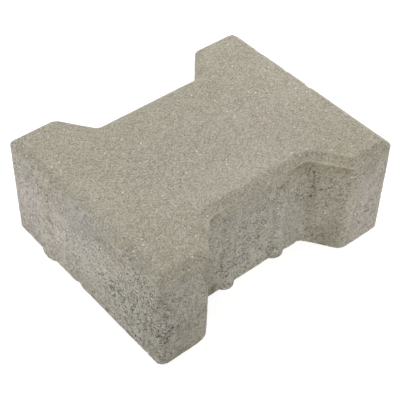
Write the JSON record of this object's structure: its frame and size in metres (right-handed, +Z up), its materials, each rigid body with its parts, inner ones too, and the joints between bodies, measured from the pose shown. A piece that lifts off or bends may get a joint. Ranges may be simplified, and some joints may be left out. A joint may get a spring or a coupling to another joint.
{
  "type": "interlocking paving stone",
  "caption": "Double-T shaped concrete paving stone with a chamfered walking face, a notch in each long side and upright spacer ribs.",
  "frame": {"origin": "centre of the bed face, at the level of the ground the stone lies on", "axes": "+Z up to the walking face, X along the 198 mm length from head to head, Y across it from notch to notch"},
  "size_m": [0.203, 0.162, 0.08],
  "materials": {
    "concrete": "pressed grey-beige concrete, matt, fine-grained on top and coarser with small pores on the sides"
  },
  "bodies": {
    "root": {"paving_stone": "concrete"}
  },
  "joints": []
}
